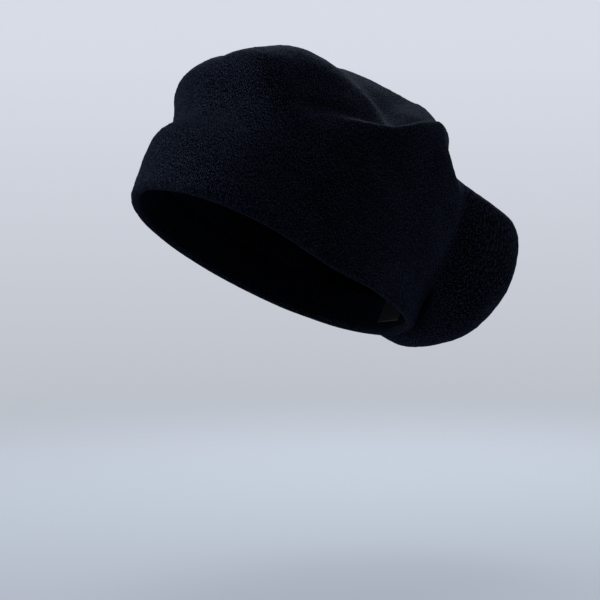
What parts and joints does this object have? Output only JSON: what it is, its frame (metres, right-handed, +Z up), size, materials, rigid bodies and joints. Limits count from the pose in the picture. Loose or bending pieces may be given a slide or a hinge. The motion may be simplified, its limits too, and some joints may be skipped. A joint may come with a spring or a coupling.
{
  "type": "knitted beret",
  "caption": "Slouchy brushed-knit beret with a doubled elastic band and a crown that folds over and hangs at the back, in its worn pose.",
  "frame": {"origin": "centre of the head opening, in the plane of the band's lower edge", "axes": "+Z up on an upright head, -Y towards the wearer's face, +X towards the wearer's left; the opening is tipped back and leans a little as it is worn"},
  "size_m": [0.1946, 0.269, 0.1972],
  "materials": {
    "knit": "black knit with a brushed, slightly hairy face",
    "knit_facing": "black knit, inner layer of the band",
    "elastic": "ribbed flat elastic",
    "seam_yarn": "twisted black yarn",
    "label_tape": "smooth blank satin tape"
  },
  "bodies": {
    "hat": {"crown": "knit", "band_outer": "knit", "band_facing": "knit_facing", "band_elastic": "elastic", "band_join_seam": "seam_yarn", "hem_stitches": "seam_yarn", "crown_back_seam": "seam_yarn", "top_gather": "seam_yarn", "label_stitches": "seam_yarn"},
    "label": {"care_label": "label_tape"}
  },
  "joints": [
    {"name": "label_flap", "type": "hinge", "parent": "hat", "child": "label", "pos_m": [0.00241, 0.09551, -0.02291], "axis": [-0.9945, 0, -0.1045], "range_deg": [0, 120]}
  ]
}
